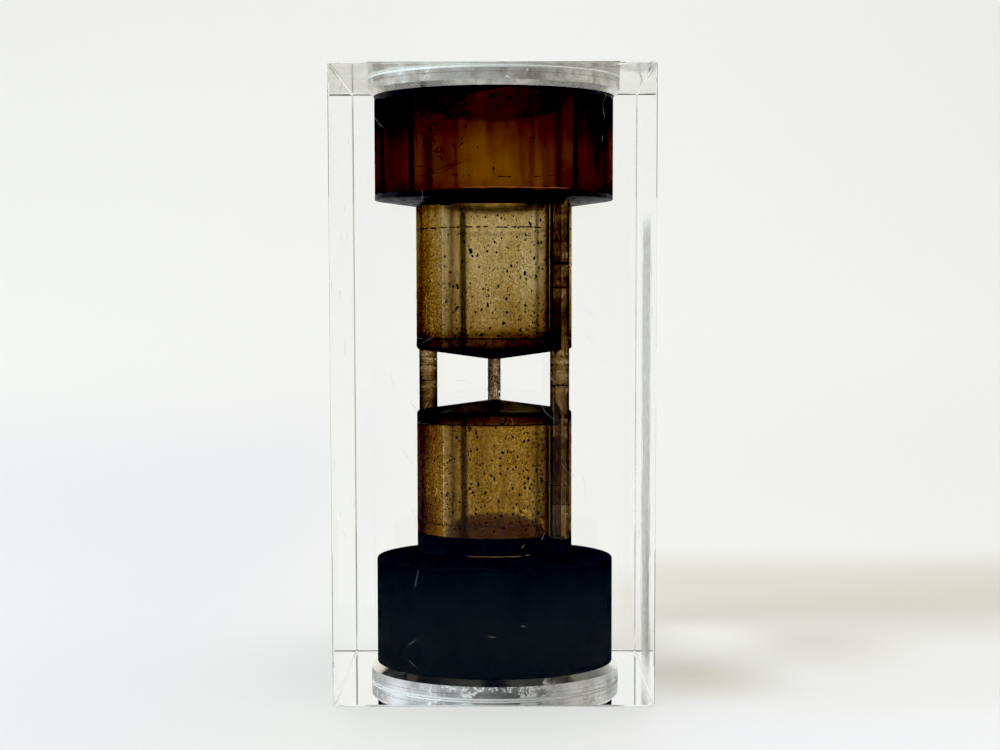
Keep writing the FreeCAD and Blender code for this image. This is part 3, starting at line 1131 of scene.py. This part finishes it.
nicks = bmesh.new()
front_face = flat(Vector((0, -1, 0)))
scrape = random.Random(7)
for u, z, heading, length, half_width in (
    (-27.2, 138.2, -0.75, 3.2, 0.07),
    (-26.4, 136.8, -0.45, 1.8, 0.05),
    (25.4, 140.5, 1.45, 4.0, 0.05),
    (25.9, 137.6, 1.75, 3.0, 0.06),
    (25.2, 132.4, 1.30, 2.2, 0.06),
    (-16.8, 118.0, 1.35, 3.4, 0.05),
    (-16.2, 120.4, 1.75, 1.6, 0.04),
    (19.0, 54.6, 1.85, 1.4, 0.05),
    (17.8, 55.6, 2.30, 3.4, 0.04),
    (22.0, 48.4, 1.85, 8.0, 0.035),
    (11.4, 40.0, 1.15, 2.0, 0.035),
    (-18.2, 44.6, 1.75, 3.6, 0.035),
    (-35.6, 143.2, 1.15, 5.4, 0.05),
    (-17.4, 70.2, 2.20, 3.0, 0.06),
    (-16.0, 70.8, 1.05, 2.2, 0.05),
    (-17.8, 97.0, 1.60, 0.8, 0.09),
    (-18.6, 28.4, 1.20, 5.0, 0.03),
):
    pace, start = 0.35 * MM, (u * MM, z * MM)
    steps, half = round(length * MM / pace), half_width * 0.6 * MM
    line = wander(scrape, start, heading, steps, pace, 0.12, half, 1)
    streak(nicks, front_face, line, 0.01 * MM, 0.03 * MM)
for x, y in ((0, -1), (1, 0), (0, 1), (-1, 0)):
    at = flat(Vector((x, y, 0)))
    for _ in range(16):
        start = (scrape.uniform(-30, 30) * MM, scrape.uniform(8, 142) * MM)
        heading, steps = scrape.uniform(0, math.pi), scrape.randint(3, 14)
        line = wander(scrape, start, heading, steps, 0.4 * MM, 0.25, scrape.uniform(0.012, 0.024) * MM, 1)
        streak(nicks, at, line, 0.01 * MM, 0.03 * MM)
fine_piece("surface_nicks", nicks, scratch_white)

draw = random.Random(20)
specks = ([], [])


def scatter(radius, axis, low, high, count, largest, bias):
    """Droplets on a wall, more of them low down when bias is above 1."""
    at = wall(radius, axis)
    for _ in range(count):
        z = low + (high - low) * draw.random() ** bias
        place, inward = at(draw.uniform(-math.pi, math.pi), z)
        size = min(largest, 0.10 * MM + draw.expovariate(1 / (0.07 * MM)))
        blob(specks, place, inward, size, size * draw.uniform(0.8, 1.9), size * 0.6 + 2 * BOND)


centre = Vector((0, 0))
scatter(BORE, centre, 84.5 * MM, 118.5 * MM, 2300, 0.36 * MM, 1.7)
scatter(BORE, centre, 39.5 * MM, 67.5 * MM, 2500, 0.36 * MM, 1.1)
scatter(RESERVOIR, centre, 122 * MM, 146 * MM, 80, 0.25 * MM, 1.0)
for axis in CHANNELS:
    scatter(CHANNEL, axis, 39 * MM, 118 * MM, 60, 0.2 * MM, 1.0)
scatter(NECK, centre, 71.5 * MM, 80.5 * MM, 70, 0.22 * MM, 1.0)

# the few marks that are large enough to be told apart
for angle, z, width, height in (
    (-0.285, 107.9, 0.55, 0.75),
    (-0.262, 106.7, 0.30, 0.35),
    (-0.200, 106.9, 0.28, 0.45),
    (-0.310, 109.0, 0.22, 0.25),
    (0.100, 66.0, 0.75, 0.45),
    (-0.830, 46.9, 0.25, 1.20),
    (-0.800, 44.6, 0.22, 0.70),
    (-0.150, 87.6, 0.60, 0.35),
    (0.060, 87.4, 0.45, 0.30),
    (0.420, 101.2, 0.22, 0.40),
    (0.540, 93.0, 0.30, 0.30),
    (0.200, 97.4, 0.25, 0.25),
    (-0.520, 57.3, 0.20, 0.50),
    (-0.310, 64.6, 0.34, 0.38),
    (0.560, 63.5, 0.32, 0.52),
    (0.610, 60.6, 0.28, 0.40),
    (0.110, 59.0, 0.34, 0.42),
    (0.520, 55.6, 0.26, 0.40),
    (0.450, 52.5, 0.30, 0.58),
    (0.405, 50.2, 0.32, 0.50),
    (0.330, 48.6, 0.36, 0.50),
    (-0.265, 49.3, 0.42, 0.32),
    (-0.290, 51.3, 0.36, 0.30),
    (-0.450, 46.7, 0.34, 0.34),
    (-0.230, 44.0, 0.36, 0.34),
    (0.245, 43.9, 0.42, 0.32),
):
    place, inward = wall(BORE)(angle, z * MM)
    blob(specks, place, inward, width * MM, height * MM, 0.16 * MM)
speck_mesh = bpy.data.meshes.new("droplets")
speck_mesh.from_pydata(specks[0], [], specks[1])
speck_bm = bmesh.new()
speck_bm.from_mesh(speck_mesh)
bpy.data.meshes.remove(speck_mesh)
residue_piece("specks", speck_bm)

# ---------------------------------------------------------------- stage


def stage_material(name, colour, glow):
    """Pale paper with its own glow, dimmer far in front, and soft patches of painted shadow and painted
    light where the block's shade and light fall on it.
    """
    net = Net(name)

    # one soft patch of the painted light and shade, by place on the floor
    def patch(x, width, y, depth):
        return net.times(net.bell(net.x, x, width), net.bell(net.y, y, depth))

    front = net.ramp(net.y, -0.24, -0.07, 0.18, 0.40)
    strength = net.add(front, net.ramp(net.z, 0.0, 0.08, 0.0, 0.03))
    left = net.ramp(net.x, -0.02, -0.12, 0, 1)
    right = net.ramp(net.x, 0.01, 0.06, 0, 1)
    on_floor = net.ramp(net.z, 0.0, 0.05, 1, 0)
    beyond = net.times(net.ramp(net.y, 0.17, 0.10, 0, 1), net.ramp(net.y, 0.01, 0.07, 0, 1))
    # painted light: the left side a shade cooler and darker, where the bluish window lamp falls
    tone = net.mix(left, (1.004, 1.004, 1.006, 1), (0.986, 0.984, 0.994, 1))
    # painted light and shade: a cooler cast on the left floor, a warm painted shadow behind the block on
    # the right, a painted lighter strip in front on the right, a painted pool of light beside the block,
    # and painted shadows at its right foot and further right
    for share, shade in (
        (net.times(left, on_floor), (0.935, 0.928, 0.973, 1)),
        (net.times(right, beyond), (0.87, 0.845, 0.785, 1)),
        (net.times(right, net.ramp(net.y, -0.02, -0.06, 0, 1)), (1.05, 1.045, 1.09, 1)),
        (patch(0.06, 0.035, 0.025, 0.028), (1.13, 1.14, 1.14, 1)),
        (patch(0.052, 0.03, -0.014, 0.024), (0.84, 0.81, 0.74, 1)),
        (patch(0.092, 0.03, 0.022, 0.04), (0.93, 0.915, 0.87, 1)),
    ):
        tone = net.mix(share, tone, shade)
    painted_shade_colours = [
        net.node("ShaderNodeVectorMath", {0: tone, 1: plain}, operation="MULTIPLY").outputs[0]
        for plain in (colour, glow)
    ]
    soft = net.node("ShaderNodeBsdfDiffuse", {"Color": painted_shade_colours[0]})
    light = net.node("ShaderNodeEmission", {"Color": painted_shade_colours[1], "Strength": strength})
    return net.blend(soft, light)


sweep_start, sweep_radius, wall_top = 0.18, 0.8, 1.5
sweep_line = [(-1.6, 0.0), (-0.4, 0.0), (0.0, 0.0), (sweep_start, 0.0)]
for k in range(1, 33):
    a = math.pi / 2 * k / 32
    sweep_line.append((sweep_start + sweep_radius * math.sin(a), sweep_radius * (1 - math.cos(a))))
sweep_line.append((sweep_start + sweep_radius, wall_top))
bm = bmesh.new()
sides = [
    [bm.verts.new((x, y, z - 0.00005)) for y, z in sweep_line] for x in (-1.1, -0.4, 0.4, 1.1)
]
for a, b in zip(sides, sides[1:]):
    for k in range(len(sweep_line) - 1):
        bm.faces.new((a[k], b[k], b[k + 1], a[k + 1]))
floor = new_piece("pale_sweep", bm, 60)
floor.data.materials.append(stage_material("paper_painted_shade", (0.50, 0.50, 0.49), (1.0, 0.985, 0.94)))
floor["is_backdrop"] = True

world = bpy.data.worlds.new("soft_room")
world.use_nodes = True
tree = world.node_tree
background = tree.nodes["Background"]
direction = tree.nodes.new("ShaderNodeTexCoord").outputs["Generated"]
split = tree.nodes.new("ShaderNodeSeparateXYZ")
tree.links.new(direction, split.inputs[0])


def fade(axis, kind, low, high, out_low, out_high):
    """A value that changes across the room, along one axis."""
    made = tree.nodes.new("ShaderNodeMapRange")
    made.interpolation_type = kind
    for socket, number in zip(made.inputs[1:], (low, high, out_low, out_high)):
        socket.default_value = number
    tree.links.new(split.outputs[axis], made.inputs["Value"])
    return made.outputs[0]


tree.links.new(fade("Y", "SMOOTHSTEP", -0.65, 0.5, 0.50, 0.9), background.inputs["Strength"])
tint = tree.nodes.new("ShaderNodeMix")
tint.data_type = "RGBA"
tree.links.new(fade("X", "LINEAR", -1, 1, 0, 1), tint.inputs["Factor"])
tint.inputs[6].default_value = (1.15, 1.20, 1.24, 1)
tint.inputs[7].default_value = (0.84, 0.80, 0.72, 1)
tree.links.new(tint.outputs[2], background.inputs["Color"])
bpy.context.scene.world = world


def soft_light(name, place, target, size, watts, colour, receivers):
    data = bpy.data.lights.new(name, "AREA")
    data.shape, data.size, data.energy, data.color = "SQUARE", size, watts, colour
    lamp = bpy.data.objects.new(name, data)
    lamp.location = place
    lamp.visible_transmission = False
    lamp.light_linking.receiver_collection = receivers
    aim = Vector(target) - Vector(place)
    lamp.rotation_euler = aim.to_track_quat("-Z", "Y").to_euler()
    bpy.context.scene.collection.objects.link(lamp)


def lit_only(name, pieces):
    """A group for a lamp to light alone, since the stained walls would mirror it as a streak."""
    group = bpy.data.collections.new(name)
    for piece in pieces:
        group.objects.link(piece)
    return group


pale = lit_only("pale_surfaces", (floor, upper_bead, lower_bead))
metal = lit_only("metal_surfaces", (upper_disc, lower_disc))
soft_light("window_left", (-0.88, -0.42, 0.32), (0, 0, 0.05), 0.30, 8.0, (0.78, 0.92, 1.0), pale)
soft_light("overhead", (0.1, 0.2, 1.1), (0, 0.1, 0), 0.9, 2.5, (1.0, 1.0, 0.98), pale)
soft_light("rim_fill", (-0.95, -0.55, 0.25), (0, 0, 0.07), 1.0, 1.1, (0.86, 0.95, 1.0), metal)

# ---------------------------------------------------------------- camera

CAMERA_PLACE = (0.003684, -0.34596, 0.09648)
CAMERA_TURN, CAMERA_DIP, CAMERA_ROLL = 0.382, 3.313, -0.106  # degrees

camera_data = bpy.data.cameras.new("camera")
camera_data.lens = 47.61
camera_data.sensor_width = 36.0
camera_data.clip_start, camera_data.clip_end = 0.01, 20
camera = bpy.data.objects.new("camera", camera_data)
turn = Matrix.Rotation(math.radians(CAMERA_TURN), 4, "Z")
tilt = Matrix.Rotation(math.radians(90 - CAMERA_DIP), 4, "X")
roll = Matrix.Rotation(math.radians(CAMERA_ROLL), 4, "Z")
camera.matrix_world = Matrix.Translation(CAMERA_PLACE) @ turn @ tilt @ roll
bpy.context.scene.collection.objects.link(camera)
bpy.context.scene.camera = camera

scene = bpy.context.scene
scene.view_settings.view_transform = "Standard"
scene.view_settings.look = "None"
scene.view_settings.use_curve_mapping = True
scene.view_settings.curve_mapping.black_level = (0.0298, 0.0288, 0.0258)
scene.view_settings.curve_mapping.update()
scene.cycles.use_denoising = True
scene.cycles.sampling_pattern = "TABULATED_SOBOL"  # the other patterns leave dots in dark film
scene.cycles.max_bounces = 24
scene.cycles.transmission_bounces = 24
scene.cycles.transparent_max_bounces = 16
scene.cycles.glossy_bounces = 8
scene.cycles.diffuse_bounces = 3
scene.cycles.sample_clamp_indirect = 4.0
scene.cycles.blur_glossy = 0.5

low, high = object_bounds()
